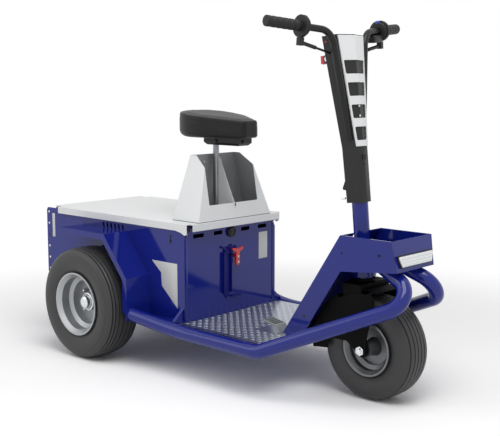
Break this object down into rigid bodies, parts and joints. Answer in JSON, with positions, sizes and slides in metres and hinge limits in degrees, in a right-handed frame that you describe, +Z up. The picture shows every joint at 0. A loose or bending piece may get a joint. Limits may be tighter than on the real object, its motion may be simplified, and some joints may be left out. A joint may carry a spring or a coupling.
{
  "type": "electric tow tractor",
  "caption": "Three-wheeled ride-on tow tractor: folded-sheet body with a hinged deck and seat tower, footwell, bent tube frame, raked steering column and a rear tow jaw.",
  "frame": {"origin": "middle of the overall length and width, on the ground", "axes": "+X forward in the direction of travel, +Y to the rider's left, +Z up"},
  "size_m": [1.6799, 0.776, 1.2092],
  "materials": {
    "blue_paint": "deep blue gloss powder coat",
    "white_paint": "white satin powder coat",
    "black_plastic": "grained black moulding",
    "black_paint": "black satin powder coat",
    "grip_rubber": "ribbed black rubber",
    "seat_vinyl": "black grained vinyl over foam",
    "tyre_rubber": "matt black rubber",
    "rim_silver": "silver paint",
    "zinc_steel": "bright zinc plate",
    "checker_plate": "raised-pattern aluminium plate",
    "lamp_lens": "clear lens over a white bar",
    "red_plastic": "red coating",
    "battery_case": "dark grey case",
    "cast_housing": "dark cast housing"
  },
  "bodies": {
    "chassis": {"box_shell": "blue_paint", "socket_plug": "black_plastic", "hinge_pins": "zinc_steel", "lid_latches": "black_plastic", "battery": "battery_case", "transaxle": "cast_housing", "rear_guard_right": "blue_paint", "rear_guard_left": "blue_paint", "frame_tube_right": "blue_paint", "frame_tube_left": "blue_paint", "floor_plate": "checker_plate", "cross_bars": "blue_paint", "pedal": "zinc_steel", "head_cheek_right": "blue_paint", "head_cheek_left": "blue_paint", "head_tray": "blue_paint", "head_lamp": "lamp_lens", "head_tube": "blue_paint", "lever_channel": "blue_paint", "tow_lever": "red_plastic", "tow_hitch": "zinc_steel"},
    "lid": {"lid": "white_paint", "seat_tower": "white_paint", "seat_post": "zinc_steel", "seat_bracket": "black_paint", "seat": "seat_vinyl"},
    "steering": {"steering_column": "blue_paint", "fork": "black_paint", "front_axle": "zinc_steel", "front_guard": "black_paint", "console_shell": "black_plastic", "console_panel": "white_paint", "handlebar_right": "black_paint", "handlebar_left": "black_paint", "grip_right": "grip_rubber", "grip_left": "grip_rubber", "control_cable_right": "black_plastic", "control_cable_left": "black_plastic", "key_switch": "black_plastic"},
    "front_wheel": {"front_rim": "rim_silver", "front_tyre": "tyre_rubber"},
    "rear_wheel_right": {"rear_rim_right": "rim_silver", "rear_tyre_right": "tyre_rubber"},
    "rear_wheel_left": {"rear_rim_left": "rim_silver", "rear_tyre_left": "tyre_rubber"}
  },
  "joints": [
    {"name": "lid_hinge", "type": "hinge", "parent": "chassis", "child": "lid", "pos_m": [-0.735, 0, 0.504], "axis": [0, -1, 0], "range_deg": [0, 60]},
    {"name": "steering_pivot", "type": "hinge", "parent": "chassis", "child": "steering", "pos_m": [0.585, 0, 0.621], "axis": [-0.0958, 0, 0.9954], "range_deg": [-25, 25]},
    {"name": "front_wheel_spin", "type": "hinge", "parent": "steering", "child": "front_wheel", "pos_m": [0.656, 0, 0.168], "axis": [0, 1, 0], "continuous": true},
    {"name": "rear_wheel_right_spin", "type": "hinge", "parent": "chassis", "child": "rear_wheel_right", "pos_m": [-0.407, -0.314, 0.204], "axis": [0, 1, 0], "continuous": true},
    {"name": "rear_wheel_left_spin", "type": "hinge", "parent": "chassis", "child": "rear_wheel_left", "pos_m": [-0.407, 0.314, 0.204], "axis": [0, 1, 0], "continuous": true}
  ]
}
